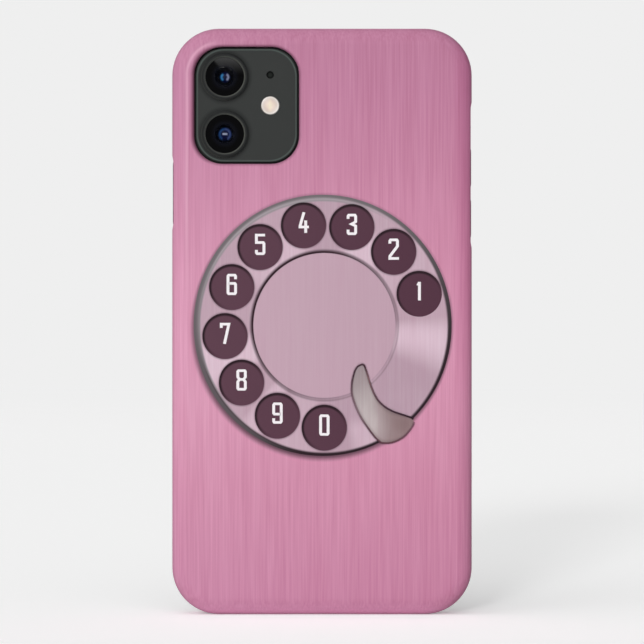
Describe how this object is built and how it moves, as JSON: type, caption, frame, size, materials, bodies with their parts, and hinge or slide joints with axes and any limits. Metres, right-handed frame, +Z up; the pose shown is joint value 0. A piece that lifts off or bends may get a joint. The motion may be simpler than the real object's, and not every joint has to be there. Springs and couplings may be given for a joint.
{
  "type": "smartphone in a hard case",
  "caption": "Pocket telephone with a two-lens camera in a hard pink case printed with a rotary dial; side buttons and ring switch move.",
  "frame": {"origin": "middle of the box's footprint at the end the case stands on", "axes": "+Z up along the handset from the charging end to the camera end; -Y out of the case's back, where the cameras and the printed dial are; +Y out of the screen; +X towards the side with the volume buttons"},
  "size_m": [0.0788, 0.0106, 0.154],
  "materials": {
    "case": "satin hard shell with a brushed-look print and a printed rotary dial",
    "back_glass": "dark glass, opaque from behind",
    "side_band": "dark satin anodised",
    "aerial_break": "moulded, flush with the band",
    "plate": "plain sheet",
    "screen_glass": "black, polished",
    "gasket": "matte",
    "display": "black, unlit",
    "dark_mesh": "fine woven mesh",
    "dark_plastic": "moulded",
    "camera_black": "black, light-absorbing",
    "lens_ring": "dark polished with a bright inner edge",
    "lens_cover": "clear, coated",
    "lens_element": "blue-coated",
    "camera_body": "plain",
    "circuit": "solder-masked board",
    "flash_window": "translucent diffuser",
    "flash_module": "phosphor and board",
    "button": "dark satin anodised",
    "switch": "moulded with metal tabs",
    "orange_mark": "painted",
    "shield": "pressed sheet",
    "battery": "black wrapped foil pouch",
    "adhesive": "stretch-release strip",
    "copper": "flat-wound copper wire",
    "ferrite": "thin sheet",
    "ribbon": "flexible circuit",
    "weight": "dense sintered metal",
    "screw": "small machine screws"
  },
  "bodies": {
    "handset": {"case_shell": "case", "back_glass": "back_glass", "phone_frame": "side_band", "antenna_breaks": "aerial_break", "mid_plate": "plate", "front_glass": "screen_glass", "screen_gasket": "gasket", "display_panel": "display", "display_shield": "plate", "earpiece_mesh": "dark_mesh", "earpiece_speaker": "dark_plastic", "front_sensor_bracket": "dark_plastic", "front_camera": "camera_black", "upper_lens_ring": "lens_ring", "upper_lens_cover": "lens_cover", "upper_lens_barrel": "camera_black", "upper_lens_element": "lens_element", "upper_camera_housing": "camera_body", "lower_lens_ring": "lens_ring", "lower_lens_cover": "lens_cover", "lower_camera_housing": "camera_body", "camera_sensors": "circuit", "camera_bracket": "plate", "flash_window": "flash_window", "flash_module": "flash_module", "rear_microphone": "camera_black", "side_button_switch": "switch", "volume_switches": "switch", "ring_switch_base": "dark_plastic", "sim_tray": "button", "sim_reader": "shield", "battery": "battery", "battery_adhesive": "adhesive", "circuit_board": "circuit", "board_shields": "shield", "charging_coil": "copper", "ferrite_disc": "ferrite", "vibration_case": "shield", "loudspeaker": "dark_plastic", "end_microphone": "shield", "sound_mesh": "dark_mesh", "socket_ribbon": "ribbon", "charging_socket": "shield", "socket_tongue": "dark_plastic", "end_screws": "screw", "board_screws": "screw", "bracket_screws": "screw"},
    "side_button": {"side_button": "button"},
    "volume_up_button": {"volume_up_button": "button"},
    "volume_down_button": {"volume_down_button": "button"},
    "ring_switch": {"ring_switch": "button", "ring_switch_mark": "orange_mark"},
    "vibration_weight": {"vibration_weight": "weight"},
    "lower_lens_focus": {"lower_lens_barrel": "camera_black", "lower_lens_element": "lens_element"}
  },
  "joints": [
    {"name": "side_button_press", "type": "slide", "parent": "handset", "child": "side_button", "axis": [1, 0, 0], "range_m": [0, 0.00035], "stiffness_N_per_m": 400},
    {"name": "volume_up_press", "type": "slide", "parent": "handset", "child": "volume_up_button", "axis": [-1, 0, 0], "range_m": [0, 0.00035], "stiffness_N_per_m": 400},
    {"name": "volume_down_press", "type": "slide", "parent": "handset", "child": "volume_down_button", "axis": [-1, 0, 0], "range_m": [0, 0.00035], "stiffness_N_per_m": 400},
    {"name": "ring_switch_slide", "type": "slide", "parent": "handset", "child": "ring_switch", "axis": [0, -1, 0], "range_m": [0, 0.0011]},
    {"name": "vibration_weight_slide", "type": "slide", "parent": "handset", "child": "vibration_weight", "axis": [1, 0, 0], "range_m": [-0.0005, 0.0005], "stiffness_N_per_m": 2000},
    {"name": "lower_lens_focus", "type": "slide", "parent": "handset", "child": "lower_lens_focus", "axis": [0, -1, 0], "range_m": [0, 0.0003], "stiffness_N_per_m": 100}
  ]
}
